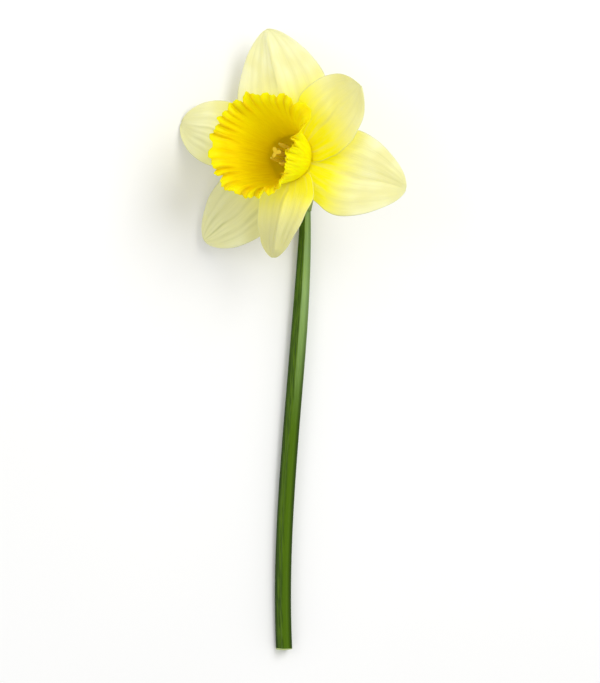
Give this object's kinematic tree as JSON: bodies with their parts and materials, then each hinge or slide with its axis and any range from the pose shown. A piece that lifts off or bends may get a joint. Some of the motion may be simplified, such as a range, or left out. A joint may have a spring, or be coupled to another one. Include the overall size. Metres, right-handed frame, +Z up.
{
  "type": "daffodil flower",
  "caption": "Trumpet daffodil bloom on a leafless cut stem, lying on its side: pale cream petals round a frilled golden trumpet. A natural ornament for a table, vase or bed.",
  "frame": {"origin": "middle of the bounding box, on the surface that the flower lies on", "axes": "+Z up from that surface, +Y along the stem toward the flower, -X the side that the trumpet turns to"},
  "size_m": [0.0762, 0.2598, 0.0688],
  "materials": {
    "stem": "satin",
    "spathe": "matte",
    "neck": "satin",
    "petal": "matte",
    "trumpet": "matte",
    "stamens": "matte",
    "pistil": "satin"
  },
  "bodies": {
    "root": {"stem": "stem", "spathe": "spathe", "neck": "neck", "petal_top": "petal", "petal_lower_left": "petal", "petal_right": "petal", "petal_upper_right": "petal", "petal_left": "petal", "petal_bottom": "petal", "trumpet": "trumpet", "stamens": "stamens", "pistil": "pistil"}
  },
  "joints": []
}
